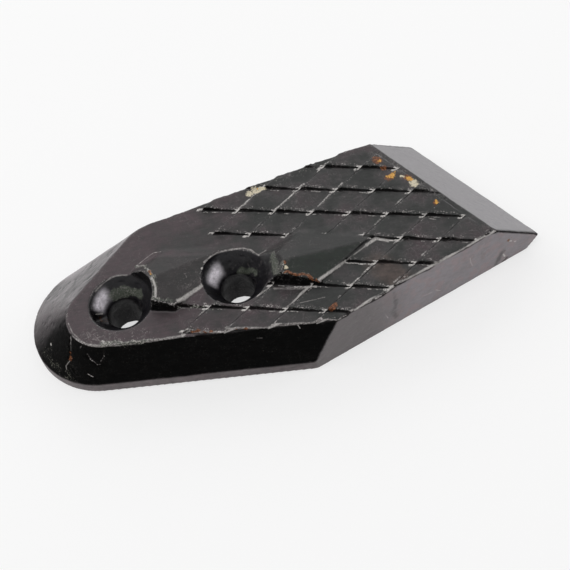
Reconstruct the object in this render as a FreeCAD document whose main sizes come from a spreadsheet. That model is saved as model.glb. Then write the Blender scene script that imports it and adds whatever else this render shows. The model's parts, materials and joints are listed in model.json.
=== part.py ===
import FreeCAD, Part
import math
import os
import Sketcher

# Plough point: one drop-forged steel piece that bolts to the foot of a plough
# body with two countersunk plough bolts.
# Frame: the flat back lies on z = 0, the rear bolt hole is on the origin, and +X
# runs along the line of holes towards the cutting edge. +Y is the far long edge.

Vector = FreeCAD.Vector
UP = Vector(0, 0, 1)

# Driving dimensions, millimetres and degrees
SIZES = {
    # bolt holes, countersunk from the top
    "hole_spacing": 45,
    "bolt_hole_diameter": 13.5,
    "mouth_diameter": 25.2,
    "countersink_depth": 8,
    "mouth_flare": 0.15,
    # heights above the back
    "rim_height": 5,
    "face_height": 25.5,
    # foot outline, the vertical rim round the back
    "tail_radius": 28.6,
    "tail_centre_x": -10.4,
    "tail_centre_y": 6.2,
    "near_edge_angle": 7.6,
    "side_angle": 19.3,
    "front_angle": 124,
    "far_edge_angle": 9.3,
    "side_distance": 53.9,
    "edge_reach": 138.5,
    "foot_corner_radius": 5,
    "tail_bend_chord": 10.5,
    "tail_slope_chord": 12.5,
    # crown outline, level with the tops of the scales
    "crown_near_distance": 18,
    "crown_side_distance": 53.8,
    "crown_far_distance": 30.3,
    "crown_tail_x": -7.3,
    "crown_tail_radius": 12.5,
    "crown_slope_angle": 43.3,
    "crown_bend_radius": 18,
    "crown_corner_radius": 2.5,
    # cutting edge: top bevel, blunt nose and relief under it
    "bevel_angle": 43,
    "nose_top": 6.5,
    "nose_relief": 5,
    "relief_angle": 45,
    "ridge_land": 2.2,
    # scales, a skewed lattice of tilted lozenges on the face
    "lattice_x": 86.4,
    "lattice_y": 54.5,
    "row_angle": 17.2,
    "column_angle": 35,
    "row_pitch": 14.8,
    "column_pitch": 14.24,
    "scale_rise": 2.1,
    "scale_toe_rise": 0.3,
    "scale_far_rise": 1.0,
    "heel_run": 0.6,
    "near_riser_run": 0.5,
    "far_flank_run": 2.6,
    # ramps that shelter the bolt heads: heights above the face at the hole's axis,
    # slopes as rise per millimetre along X and along Y
    "ramp_near_distance": 3.1,
    "ramp_near_draft": 9,
    "ramp_shoulder_angle": 23,
    "ramp_shoulder_run": 1.2,
    "ramp_toe_run": 0.25,
    "ramp_toe_offset": 3.0,
    "rear_ramp_near_height": 9.8,
    "rear_near_slope_x": -0.255,
    "rear_near_slope_y": 0.117,
    "rear_ramp_far_height": 9.4,
    "rear_far_slope_x": -0.082,
    "rear_far_slope_y": -0.394,
    "rear_ramp_shoulder": 10.1,
    "rear_lead_angle": 40.5,
    "rear_lead_distance": 5.6,
    "rear_lead_run": 0.7,
    "front_ramp_near_height": 13.3,
    "front_near_slope_x": -0.217,
    "front_near_slope_y": 0.30,
    "front_ramp_far_height": 10,
    "front_far_slope_x": -0.134,
    "front_far_slope_y": -0.350,
    "front_ramp_shoulder": 3.1,
    "front_ramp_flare": 0.86,
    # key slot for the nib of the rear bolt
    "nib_slot_width": 4.6,
    "nib_slot_end": 0.6,
    "nib_slot_angle": 194,
}

# Lattice column where each row of scales begins, from the far row to the near row
FIRST_COLUMNS = (0, -1, -1, 0, 4, 4, 1, 2)
# Columns where the rear and the front ramp end
REAR_TOE_COLUMN = 1
FRONT_TOE_COLUMN = 4

ROOT = 1.0      # how far scales and ramps reach down into the plate


def direction(degrees):
    """Unit vector in the XY plane."""
    angle = math.radians(degrees)
    return Vector(math.cos(angle), math.sin(angle), 0)


def make_sheet(doc):
    """Spreadsheet with one aliased cell for each driving dimension."""
    sheet = doc.addObject("Spreadsheet::Sheet", "Sizes")
    for row, (name, value) in enumerate(SIZES.items(), start=1):
        sheet.set("A%d" % row, name)
        sheet.set("B%d" % row, str(value))
        sheet.setAlias("B%d" % row, name)
    doc.recompute()
    return sheet


class Line:
    """Directed line in the XY plane with the forging on its left."""

    def __init__(self, angle, distance, centre=Vector()):
        self.along = direction(angle)
        self.outward = direction(angle - 90)
        self.distance = distance + centre.dot(self.outward)

    def meet(self, other):
        """Point where this line crosses another one."""
        turn = self.outward.x * other.outward.y - self.outward.y * other.outward.x
        x = (self.distance * other.outward.y - other.distance * self.outward.y) / turn
        y = (other.distance * self.outward.x - self.distance * other.outward.x) / turn
        return Vector(x, y, 0)

    def offset(self, distance):
        """Copy of the line moved inward."""
        moved = Line(0, 0)
        moved.along = self.along
        moved.outward = self.outward
        moved.distance = self.distance - distance
        return moved


def corner_arc(before, after, radius):
    """Start, end and centre of the fillet between two directed lines."""
    centre = before.offset(radius).meet(after.offset(radius))
    return centre + before.outward * radius, centre + after.outward * radius, centre


def add_arc(sketch, start, end, centre):
    """Add a counter-clockwise arc and return its index."""
    radius = start.distanceToPoint(centre)
    first = math.atan2(start.y - centre.y, start.x - centre.x)
    last = math.atan2(end.y - centre.y, end.x - centre.x)
    if last < first:
        last += 2 * math.pi
    circle = Part.Circle(centre, UP, radius)
    return sketch.addGeometry(Part.ArcOfCircle(circle, first, last), False)


def size_constraint(sketch, alias, *terms, scale=""):
    """Add a sketch dimension that follows one cell of the sheet."""
    index = sketch.addConstraint(Sketcher.Constraint(*terms))
    sketch.setExpression("Constraints[%d]" % index, "Sizes.%s%s" % (alias, scale))
    return index


def outline(doc, name, edges):
    """Closed sketch of lines and tangent arcs, in order.

    Each edge is ("line", start, end) or ("arc", start, end, centre).
    """
    sketch = doc.addObject("Sketcher::SketchObject", name)
    for edge in edges:
        if edge[0] == "line":
            sketch.addGeometry(Part.LineSegment(edge[1], edge[2]), False)
        else:
            add_arc(sketch, edge[1], edge[2], edge[3])
    return sketch


def foot_outline(doc, size):
    """Outline of the back: round tail, two long edges, side and cutting edge."""
    tail = Vector(size["tail_centre_x"], size["tail_centre_y"], 0)
    radius = size["tail_radius"]
    near = Line(-size["near_edge_angle"], radius, tail)
    side = Line(size["side_angle"], size["side_distance"])
    front = Line(size["front_angle"], size["edge_reach"])
    far = Line(180 + size["far_edge_angle"], radius, tail)
    corner = corner_arc(near, side, size["foot_corner_radius"])
    tip_near = side.meet(front)
    tip_far = front.meet(far)
    bend = 90 + size["far_edge_angle"]
    bend += 2 * math.degrees(math.asin(size["tail_bend_chord"] / 2 / radius))
    slope = bend + 2 * math.degrees(math.asin(size["tail_slope_chord"] / 2 / radius))
    far_end = tail + far.outward * radius
    bend_end = tail + direction(bend) * radius
    slope_end = tail + direction(slope) * radius
    near_start = tail + near.outward * radius
    sketch = outline(doc, "foot_outline", [
        ("line", near_start, corner[0]),
        ("arc", corner[0], corner[1], corner[2]),
        ("line", corner[1], tip_near),
        ("line", tip_near, tip_far),
        ("line", tip_far, far_end),
        ("arc", far_end, bend_end, tail),
        ("arc", bend_end, slope_end, tail),
        ("arc", slope_end, near_start, tail),
    ])
    for terms in (("Tangent", 0, 2, 1, 1), ("Tangent", 1, 2, 2, 1), ("Coincident", 2, 2, 3, 1),
                  ("Coincident", 3, 2, 4, 1), ("Tangent", 4, 2, 5, 1), ("Coincident", 5, 2, 6, 1),
                  ("Coincident", 6, 2, 7, 1), ("Tangent", 7, 2, 0, 1), ("Coincident", 5, 3, 6, 3),
                  ("Coincident", 6, 3, 7, 3)):
        sketch.addConstraint(Sketcher.Constraint(*terms))
    size_constraint(sketch, "tail_radius", "Radius", 5, radius)
    size_constraint(sketch, "tail_centre_x", "DistanceX", -1, 1, 5, 3, tail.x)
    size_constraint(sketch, "tail_centre_y", "DistanceY", -1, 1, 5, 3, tail.y)
    size_constraint(sketch, "foot_corner_radius", "Radius", 1, size["foot_corner_radius"])
    size_constraint(sketch, "side_distance", "Distance", -1, 1, 2, size["side_distance"])
    size_constraint(sketch, "edge_reach", "Distance", -1, 1, 3, size["edge_reach"])
    size_constraint(sketch, "tail_bend_chord", "Distance", 5, 1, 5, 2, size["tail_bend_chord"])
    size_constraint(sketch, "tail_slope_chord", "Distance", 6, 1, 6, 2, size["tail_slope_chord"])
    edge_angles(sketch, size, near=0, side=2, front=3, far=4)
    return sketch


def crown_outline(doc, size):
    """Outline level with the tops of the scales, inside the drafted walls."""
    near = Line(-size["near_edge_angle"], size["crown_near_distance"])
    side = Line(size["side_angle"], size["crown_side_distance"])
    front = Line(size["front_angle"], size["edge_reach"])
    far = Line(180 + size["far_edge_angle"], size["crown_far_distance"])
    radius = size["crown_tail_radius"]
    down = near.outward * (size["crown_near_distance"] - radius)
    slide = (size["crown_tail_x"] - down.x) / near.along.x
    tail = down + near.along * slide
    slope = Line(180 + size["crown_slope_angle"], radius, tail)
    bend = corner_arc(far, slope, size["crown_bend_radius"])
    corner = corner_arc(near, side, size["crown_corner_radius"])
    tip_near = side.meet(front)
    tip_far = front.meet(far)
    slope_end = tail + slope.outward * radius
    near_start = tail + near.outward * radius
    sketch = outline(doc, "crown_outline", [
        ("line", near_start, corner[0]),
        ("arc", corner[0], corner[1], corner[2]),
        ("line", corner[1], tip_near),
        ("line", tip_near, tip_far),
        ("line", tip_far, bend[0]),
        ("arc", bend[0], bend[1], bend[2]),
        ("line", bend[1], slope_end),
        ("arc", slope_end, near_start, tail),
    ])
    for terms in (("Tangent", 0, 2, 1, 1), ("Tangent", 1, 2, 2, 1), ("Coincident", 2, 2, 3, 1),
                  ("Coincident", 3, 2, 4, 1), ("Tangent", 4, 2, 5, 1), ("Tangent", 5, 2, 6, 1),
                  ("Tangent", 6, 2, 7, 1), ("Tangent", 7, 2, 0, 1)):
        sketch.addConstraint(Sketcher.Constraint(*terms))
    size_constraint(sketch, "crown_tail_radius", "Radius", 7, radius)
    size_constraint(sketch, "crown_bend_radius", "Radius", 5, size["crown_bend_radius"])
    size_constraint(sketch, "crown_corner_radius", "Radius", 1, size["crown_corner_radius"])
    size_constraint(sketch, "crown_tail_x", "DistanceX", -1, 1, 7, 3, tail.x)
    size_constraint(sketch, "crown_near_distance", "Distance", -1, 1, 0, size["crown_near_distance"])
    size_constraint(sketch, "crown_side_distance", "Distance", -1, 1, 2, size["crown_side_distance"])
    size_constraint(sketch, "edge_reach", "Distance", -1, 1, 3, size["edge_reach"])
    size_constraint(sketch, "crown_far_distance", "Distance", -1, 1, 4, size["crown_far_distance"])
    size_constraint(sketch, "crown_slope_angle", "Angle", 6,
                    math.radians(180 + size["crown_slope_angle"]), scale=" * 1 deg + 180 deg")
    edge_angles(sketch, size, near=0, side=2, front=3, far=4)
    return sketch


def edge_angles(sketch, size, near, side, front, far):
    """Fix the directions of the four straight edges."""
    size_constraint(sketch, "near_edge_angle", "Angle", near,
                    math.radians(-size["near_edge_angle"]), scale=" * -1 deg")
    size_constraint(sketch, "side_angle", "Angle", side,
                    math.radians(size["side_angle"]), scale=" * 1 deg")
    size_constraint(sketch, "front_angle", "Angle", front,
                    math.radians(size["front_angle"]), scale=" * 1 deg")
    size_constraint(sketch, "far_edge_angle", "Angle", far,
                    math.radians(180 + size["far_edge_angle"]), scale=" * 1 deg + 180 deg")


def bind(thing, **expressions):
    """Tie properties of a feature to cells of the sheet."""
    for name, expression in expressions.items():
        thing.setExpression(name, expression)
    return thing


def seat(thing, x="0", y="0", z="0", yaw="0", roll="0"):
    """Tie a feature's placement to cells of the sheet."""
    place = "create(<<placement>>; create(<<vector>>; %s; %s; %s); " % (x, y, z)
    place += "create(<<rotation>>; %s; 0; %s))" % (yaw, roll)
    thing.setExpression("Placement", place)
    return thing


def forging_blank(doc, foot, crown):
    """Vertical rim round the back, and the drafted walls above it."""
    seat(foot, z="Sizes.rim_height")
    seat(crown, z="Sizes.face_height + Sizes.scale_rise")
    rim = doc.addObject("Part::Extrusion", "rim")
    rim.Base = foot
    rim.DirMode = "Custom"
    rim.Dir = Vector(0, 0, -1)
    rim.Solid = True
    bind(rim, LengthFwd="Sizes.rim_height")
    walls = doc.addObject("Part::Loft", "drafted_walls")
    walls.Sections = [foot, crown]
    walls.Solid = True
    walls.Ruled = True
    return rim, walls


def trim(solid, point, outward):
    """Cut away what lies beyond a plane, on its outward side."""
    plane = Part.Plane(point, outward).toShape()
    return solid.common(plane.makeHalfSpace(point - outward))


class Lattice:
    """Skewed grid that the scales are laid out on."""

    def __init__(self, size):
        self.size = size
        self.origin = Vector(size["lattice_x"], size["lattice_y"], size["face_height"])
        self.row = direction(-size["row_angle"])
        self.column = direction(size["column_angle"])
        self.into_row = direction(90 - size["row_angle"])
        self.into_column = direction(size["column_angle"] - 90)

    def node(self, row, column):
        """Crossing of a row line and a column line, level with the groove floor."""
        step = self.row * (column * self.size["row_pitch"])
        return self.origin + step - self.column * (row * self.size["column_pitch"])

    def scale(self):
        """One scale with its near heel corner on the origin, high at that corner.

        Its steep heel faces the tail and its steep near side faces -Y. The top
        falls away towards the toe and the far side, where a flank meets the groove.
        """
        size = self.size
        along = self.row * size["row_pitch"]
        across = self.column * size["column_pitch"]
        width = along.dot(self.into_column)
        depth = across.dot(self.into_row)
        rise = size["scale_rise"]
        base = [Vector(), along, along + across, across, Vector()]
        block = Part.Face(Part.makePolygon(base)).extrude(UP * (rise + ROOT))
        block.translate(UP * -ROOT)
        toe_fall = (rise - size["scale_toe_rise"]) / width
        far_fall = (rise - size["scale_far_rise"]) / depth
        top = self.into_column * toe_fall + self.into_row * far_fall + UP
        block = trim(block, UP * rise, top)
        heel = UP * size["heel_run"] - self.into_column * rise
        block = trim(block, Vector(), heel)
        near = UP * size["near_riser_run"] - self.into_row * rise
        block = trim(block, Vector(), near)
        far = UP * size["far_flank_run"] + self.into_row * rise
        return trim(block, across, far)

    def scales(self, land_distance):
        """All scales of the face, cut off at the strip of land behind the ridge."""
        reach = direction(self.size["front_angle"] - 90)
        scale = self.scale()
        copies = []
        for row, column in enumerate(FIRST_COLUMNS, start=1):
            corner = self.node(row, column)
            while corner.dot(reach) < land_distance:
                copies.append(trim(scale.translated(corner), reach * land_distance, reach))
                column += 1
                corner = self.node(row, column)
        return copies


def ridge_distance(size):
    """Distance of the ridge from the rear hole, measured square to the cutting edge."""
    run = (size["face_height"] - size["nose_top"]) / math.tan(math.radians(size["bevel_angle"]))
    return size["edge_reach"] - run


def ramp(size, lattice, place, hole, toe_column):
    """Roof-shaped ramp on the tip side of a bolt hole, with a near and a far facet."""
    face = hole + UP * size["face_height"]
    length = size["edge_reach"]
    block = Part.makeBox(length, 2 * length, size[place + "_ramp_near_height"] + ROOT,
                         face - Vector(0, length, ROOT))
    for facet in ("near", "far"):
        slope_x = size["%s_%s_slope_x" % (place, facet)]
        slope_y = size["%s_%s_slope_y" % (place, facet)]
        top = face + UP * size["%s_ramp_%s_height" % (place, facet)]
        block = trim(block, top, Vector(-slope_x, -slope_y, 1))
    draft = math.radians(size["ramp_near_draft"])
    near = lattice.into_row * -1
    block = trim(block, face + near * size["ramp_near_distance"],
                 near * math.cos(draft) + UP * math.sin(draft))
    far = direction(size["ramp_shoulder_angle"] + 90)
    shoulder = size[place + "_ramp_shoulder"]
    block = trim(block, face + far * shoulder, far + UP * size["ramp_shoulder_run"])
    toe = lattice.node(0, toe_column) + lattice.into_column * size["ramp_toe_offset"]
    return trim(block, toe, lattice.into_column + UP * size["ramp_toe_run"])


def code_feature(doc, name, shape):
    """Document object for a form that only Part's own functions can make."""
    feature = doc.addObject("Part::Feature", name)
    feature.Shape = shape
    return feature


def face_relief(doc, size):
    """The flat face with its scales, and the two ramps that stand on it."""
    lattice = Lattice(size)
    span = 2 * size["edge_reach"]
    slab = Part.makeBox(2 * span, 2 * span, size["face_height"], Vector(-span, -span, 0))
    face = slab.multiFuse(lattice.scales(ridge_distance(size) - size["ridge_land"]))
    rear = ramp(size, lattice, "rear", Vector(), REAR_TOE_COLUMN)
    lead = direction(size["rear_lead_angle"] + 90)
    rear = trim(rear, UP * size["face_height"] + lead * size["rear_lead_distance"],
                lead + UP * size["rear_lead_run"])
    hole = Vector(size["hole_spacing"], 0, 0)
    front = ramp(size, lattice, "front", hole, FRONT_TOE_COLUMN)
    mouth = size["mouth_diameter"] / 2
    rise = size["front_ramp_near_height"]
    bowl = Part.makeCone(mouth, mouth + size["front_ramp_flare"] * rise, rise,
                         hole + UP * size["face_height"])
    return (code_feature(doc, "scaled_face", face), code_feature(doc, "rear_ramp", rear),
            code_feature(doc, "front_ramp", front.cut(bowl)))


def cutting_tools(doc):
    """Bolt holes, nib slot, top bevel and the relief under the cutting edge."""
    tools = []
    for place, x in (("rear", "0"), ("front", "Sizes.hole_spacing")):
        shank = bind(doc.addObject("Part::Cylinder", place + "_bolt_hole"),
                     Radius="Sizes.bolt_hole_diameter / 2", Height="Sizes.face_height")
        sink = bind(doc.addObject("Part::Cone", place + "_countersink"),
                    Radius1="Sizes.bolt_hole_diameter / 2", Radius2="Sizes.mouth_diameter / 2",
                    Height="Sizes.countersink_depth")
        mouth = bind(doc.addObject("Part::Cone", place + "_mouth"),
                     Radius1="Sizes.mouth_diameter / 2",
                     Radius2="Sizes.mouth_diameter / 2 + Sizes.mouth_flare"
                             " * Sizes.front_ramp_near_height",
                     Height="Sizes.front_ramp_near_height")
        seat(shank, x=x)
        seat(sink, x=x, z="Sizes.face_height - Sizes.countersink_depth")
        seat(mouth, x=x, z="Sizes.face_height")
        tools += [shank, sink, mouth]
    slot = bind(doc.addObject("Part::Box", "nib_slot"),
                Length="Sizes.mouth_diameter / 2 - Sizes.nib_slot_end",
                Width="Sizes.nib_slot_width", Height="Sizes.countersink_depth")
    half = "Sizes.nib_slot_width / 2"
    seat(slot, x="%s * sin(Sizes.nib_slot_angle * 1 deg)" % half,
         y="-%s * cos(Sizes.nib_slot_angle * 1 deg)" % half,
         z="Sizes.face_height - Sizes.countersink_depth", yaw="Sizes.nib_slot_angle")
    tools.append(slot)
    return tools


def edge_tool(doc, name, height, tilt, turn):
    """Big box whose bottom face lies on a plane through the cutting edge.

    The plane passes through the front face at the given height. The box lies along
    the edge, turned by turn degrees about the vertical and tilted about the edge.
    """
    tool = bind(doc.addObject("Part::Box", name), Length="2 * Sizes.edge_reach",
                Width="Sizes.edge_reach", Height="Sizes.edge_reach")
    yaw = "(Sizes.front_angle * 1 deg + %s deg)" % turn
    setback = "Sizes.face_height * cos(%s * 1 deg)" % tilt
    outward = "(Sizes.front_angle * 1 deg - 90 deg)"
    seat(tool,
         x="Sizes.edge_reach * (cos(%s) - cos(%s)) + %s * sin(%s)" % (outward, yaw, setback, yaw),
         y="Sizes.edge_reach * (sin(%s) - sin(%s)) - %s * cos(%s)" % (outward, yaw, setback, yaw),
         z="%s - Sizes.face_height * sin(%s * 1 deg)" % (height, tilt),
         yaw="Sizes.front_angle + %s" % turn, roll=tilt)
    return tool


def check(doc):
    """Stop if any object of the document failed or has no valid shape."""
    for thing in doc.Objects:
        if "Invalid" in thing.State or "Error" in thing.State:
            raise RuntimeError("%s did not recompute: %s" % (thing.Name, thing.State))
        if hasattr(thing, "Shape") and (thing.Shape.isNull() or not thing.Shape.isValid()):
            raise RuntimeError("%s has no valid shape" % thing.Name)


def main():
    doc = FreeCAD.newDocument("plough_point")
    sheet = make_sheet(doc)
    size = {name: float(sheet.get(name)) for name in SIZES}
    foot = foot_outline(doc, size)
    crown = crown_outline(doc, size)
    rim, walls = forging_blank(doc, foot, crown)

    face, rear_ramp, front_ramp = face_relief(doc, size)
    body = doc.addObject("Part::MultiCommon", "scaled_body")
    body.Shapes = [walls, face]
    whole = doc.addObject("Part::MultiFuse", "uncut_forging")
    whole.Shapes = [rim, body, rear_ramp, front_ramp]

    tools = cutting_tools(doc)
    tools.append(edge_tool(doc, "bevel_tool", "Sizes.nose_top", "Sizes.bevel_angle", "0"))
    relief = "(180 + Sizes.relief_angle)"
    tools.append(edge_tool(doc, "relief_tool", "Sizes.nose_relief", relief, "180"))
    waste = doc.addObject("Part::MultiFuse", "waste")
    waste.Shapes = tools
    point = doc.addObject("Part::Cut", "plough_point")
    point.Base = whole
    point.Tool = waste
    point.Refine = True
    point.Label = "plough_point"

    doc.recompute()
    check(doc)
    if len(point.Shape.Solids) != 1:
        raise RuntimeError("the forging must be one solid, not %d" % len(point.Shape.Solids))
    os.makedirs("parts", exist_ok=True)
    point.Shape.exportStep("parts/%s.step" % point.Label)
    box = point.Shape.BoundBox
    print("plough_point: %.1f x %.1f x %.1f mm, %.0f mm3, %d faces"
          % (box.XLength, box.YLength, box.ZLength, point.Shape.Volume, len(point.Shape.Faces)))


main()
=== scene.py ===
"""Looks of a drop-forged plough point: worn black paint over steel, on a pale floor."""

import functools
import itertools
import json
import logging
import math
from dataclasses import dataclass, field
from enum import Enum
from typing import Any

import bpy
import numpy as np
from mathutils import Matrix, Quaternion, Vector


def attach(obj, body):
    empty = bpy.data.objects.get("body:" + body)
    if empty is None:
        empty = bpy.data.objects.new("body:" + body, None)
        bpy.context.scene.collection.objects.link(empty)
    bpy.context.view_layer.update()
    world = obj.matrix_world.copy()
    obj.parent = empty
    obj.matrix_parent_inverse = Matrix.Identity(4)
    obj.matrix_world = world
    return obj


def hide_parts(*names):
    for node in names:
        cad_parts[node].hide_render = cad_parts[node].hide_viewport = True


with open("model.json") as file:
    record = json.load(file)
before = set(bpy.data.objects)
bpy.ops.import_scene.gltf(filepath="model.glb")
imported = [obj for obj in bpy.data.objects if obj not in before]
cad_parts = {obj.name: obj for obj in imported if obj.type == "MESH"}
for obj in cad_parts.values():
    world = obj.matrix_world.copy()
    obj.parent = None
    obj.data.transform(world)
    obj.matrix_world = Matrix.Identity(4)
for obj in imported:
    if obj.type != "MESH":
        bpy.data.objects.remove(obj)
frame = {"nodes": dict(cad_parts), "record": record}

log = logging.getLogger("plough_point")

MILLIMETRE = 0.001

Triple = tuple[float, float, float]


class Mask(Enum):
    """Names of the masks that the mesh carries for its paint."""

    NEAR_WALL = "near_wall"
    WALL = "wall"
    SIDE = "side"
    BEVEL = "bevel"
    RIM = "rim"
    BOWL = "bowl"
    FACET = "facet"
    RISER = "riser"
    ROW_LINE = "row_line"
    COLUMN_LINE = "column_line"
    SEAT = "seat_highlight"
    FAR_WALL = "far_wall"
    LEAD = "lead"
    PALE = "pale"
    SIDE_SHADE = "side_shade"
    BORE = "bore"
    EDGE = "edge"
    BROW = "brow"
    HOLLOW = "hollow"
    WORN = "worn"
    SCUFF = "scuff"
    GRIT = "grit"
    BORDER = "border"
    DUST = "dust"
    RUST = "rust"
    OCHRE = "ochre"
    CHALK = "chalk"


class Value:
    """A node socket that takes part in Python arithmetic."""

    def __init__(self, graph: "Graph", socket: bpy.types.NodeSocket) -> None:
        """Wrap one output socket of a graph."""
        self.graph = graph
        self.socket = socket

    def _join(self, operation: str, first: Any, second: Any = None) -> "Value":
        """Add the node that works out one operation.

        Args:
            operation: name shared by the Math and Vector Math nodes.
            first: left operand, a Value or a number.
            second: right operand, or None where there is none.

        Returns:
            The node's result.
        """
        vector = any(isinstance(v, Value) and v.socket.type == "VECTOR" for v in (first, second))
        kind = "ShaderNodeVectorMath" if vector else "ShaderNodeMath"
        operands = [v for v in (first, second) if v is not None]
        return self.graph.node(kind, {"operation": operation}, dict(enumerate(operands)))

    def __add__(self, other: Any) -> "Value":
        """Sum."""
        return self._join("ADD", self, other)

    def __radd__(self, other: Any) -> "Value":
        """Sum with this value on the right."""
        return self._join("ADD", other, self)

    def __sub__(self, other: Any) -> "Value":
        """Difference."""
        return self._join("SUBTRACT", self, other)

    def __rsub__(self, other: Any) -> "Value":
        """Difference with this value on the right."""
        return self._join("SUBTRACT", other, self)

    def __mul__(self, other: Any) -> "Value":
        """Product."""
        return self._join("MULTIPLY", self, other)

    def __rmul__(self, other: Any) -> "Value":
        """Product with this value on the right."""
        return self._join("MULTIPLY", other, self)

    def ramp(self, low: float, high: float) -> "Value":
        """Smooth step from 0 at low to 1 at high.

        Args:
            low: value that gives 0.
            high: value that gives 1; it may lie below low.

        Returns:
            The stepped value.
        """
        settings = {"interpolation_type": "SMOOTHSTEP"}
        turned = low > high
        sockets = {"Value": self, "From Min": min(low, high), "From Max": max(low, high)}
        step = self.graph.node("ShaderNodeMapRange", settings, sockets)
        return 1 - step if turned else step

    def within(self, low: float, high: float, soft: float) -> "Value":
        """1 between two limits and 0 outside, with soft ends.

        Args:
            low: lower limit.
            high: upper limit.
            soft: half the width of each end.

        Returns:
            The window.
        """
        return self.ramp(low - soft, low + soft) * self.ramp(high + soft, high - soft)

    def either(self, other: "Value") -> "Value":
        """Greater of two values."""
        return self._join("MAXIMUM", self, other)

    def least(self, other: "Value") -> "Value":
        """Smaller of two values."""
        return self._join("MINIMUM", self, other)


class Graph:
    """Node tree of one material or world, filled through one node-making method."""

    def __init__(self, owner: bpy.types.ID) -> None:
        """Empty the tree of a material or world."""
        owner.use_nodes = True
        self.tree = owner.node_tree
        self.tree.nodes.clear()

    def node(self, kind: str, settings: dict[str, Any] | None = None,
             sockets: dict[str | int, Any] | None = None, output: str | int = 0) -> Value:
        """Make one node.

        Args:
            kind: node type.
            settings: properties of the node, set before its sockets.
            sockets: input name or index, with a Value to link or a plain value to set.
            output: name or index of the output to hand back.

        Returns:
            The chosen output.
        """
        made = self.tree.nodes.new(kind)
        for name, setting in (settings or {}).items():
            setattr(made, name, setting)
        for key, value in (sockets or {}).items():
            if isinstance(value, Value):
                self.tree.links.new(value.socket, made.inputs[key])
            else:
                made.inputs[key].default_value = value
        if not made.outputs:
            return Value(self, made.inputs[0])
        return Value(self, made.outputs[output])

    def blend(self, factor: Any, first: Any, second: Any, kind: str = "MIX") -> Value:
        """Mix two colours.

        Args:
            factor: share of the second colour.
            first: colour or Value.
            second: colour or Value.
            kind: blend type of the Mix node.

        Returns:
            The mixed colour.
        """
        colour_a, colour_b, result = 6, 7, 2
        first, second = (v if isinstance(v, Value) else (*v, 1) for v in (first, second))
        sockets = {0: factor, colour_a: first, colour_b: second}
        return self.node("ShaderNodeMix", {"data_type": "RGBA", "blend_type": kind}, sockets, result)

    def mask(self, mask: Mask) -> Value:
        """Read one mask of the mesh."""
        return self.node("ShaderNodeAttribute", {"attribute_name": mask.value}, output="Fac")

    def noise(self, place: Value, size: float, detail: float = 2, rough: float = 0.5,
              warp: float = 0) -> Value:
        """Noise texture over space.

        Args:
            place: coordinates in metres.
            size: size of its features, in millimetres.
            detail: octaves.
            rough: strength of the finer octaves.
            warp: distortion.

        Returns:
            The noise, about 0 to 1.
        """
        sockets = {"Vector": place, "Scale": 1 / (size * MILLIMETRE), "Detail": detail,
                   "Roughness": rough, "Distortion": warp}
        return self.node("ShaderNodeTexNoise", None, sockets)

    def stretched(self, place: Value, factors: Triple, turn: float) -> Value:
        """Coordinates turned about the vertical and scaled by axis, for streaks."""
        sockets = {"Vector": place, "Rotation": (0, 0, math.radians(turn)), "Scale": factors}
        return self.node("ShaderNodeMapping", {"vector_type": "POINT"}, sockets)

    def vector(self, operation: str, *operands: Any, output: str = "Vector") -> Value:
        """Add one Vector Math node.

        Args:
            operation: name of the operation.
            operands: vectors, or Values that hold them.
            output: "Vector" or "Value".

        Returns:
            The node's result.
        """
        return self.node("ShaderNodeVectorMath", {"operation": operation},
                         dict(enumerate(operands)), output)

    def segment(self, place: Value, start: Vector, end: Vector) -> Value:
        """Distance from a straight segment.

        Args:
            place: coordinates in metres.
            start: one end, in metres.
            end: other end, in metres.

        Returns:
            The distance, in metres.
        """
        run = end - start
        offset = self.vector("SUBTRACT", place, start)
        share = self.vector("DOT_PRODUCT", offset, run / run.length_squared, output="Value")
        share = self.node("ShaderNodeClamp", None, {"Value": share})
        reach = self.node("ShaderNodeVectorMath", {"operation": "SCALE"}, {0: run, "Scale": share})
        return self.vector("DISTANCE", offset, reach, output="Value")


class Grain:
    """Smooth seeded noise over space, between -1 and 1."""

    CELLS = 32

    def __init__(self, seed: int) -> None:
        """Draw the table that the noise repeats."""
        self.table = np.random.default_rng(seed).uniform(-1, 1, (self.CELLS,) * 3)

    def at(self, points: np.ndarray, size: float) -> np.ndarray:
        """Noise at points, one octave.

        Args:
            points: rows of coordinates.
            size: size of its features, in the same unit.

        Returns:
            One number a point.
        """
        scaled = points / size
        low = np.floor(scaled).astype(int)
        part = scaled - low
        part = part * part * (3 - 2 * part)
        total = np.zeros(len(points))
        for corner in itertools.product((0, 1), repeat=3):
            index = (low + corner) % self.CELLS
            weight = np.prod(np.where(corner, part, 1 - part), axis=1)
            total += weight * self.table[tuple(index.T)]
        return total

    def rough(self, points: np.ndarray, size: float, octaves: int) -> np.ndarray:
        """Sum of octaves, each half as large and half as strong as the one before."""
        return sum(self.at(points + octave, size / 2 ** octave) / 2 ** octave
                   for octave in range(octaves))


def smooth_step(value: np.ndarray, low: float, high: float) -> np.ndarray:
    """Smooth step from 0 at low to 1 at high, over an array."""
    part = np.clip((value - low) / (high - low), 0, 1)
    return part * part * (3 - 2 * part)


def heading(degrees: float) -> np.ndarray:
    """Unit vector in the floor's plane."""
    angle = math.radians(degrees)
    return np.array([math.cos(angle), math.sin(angle), 0])


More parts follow.
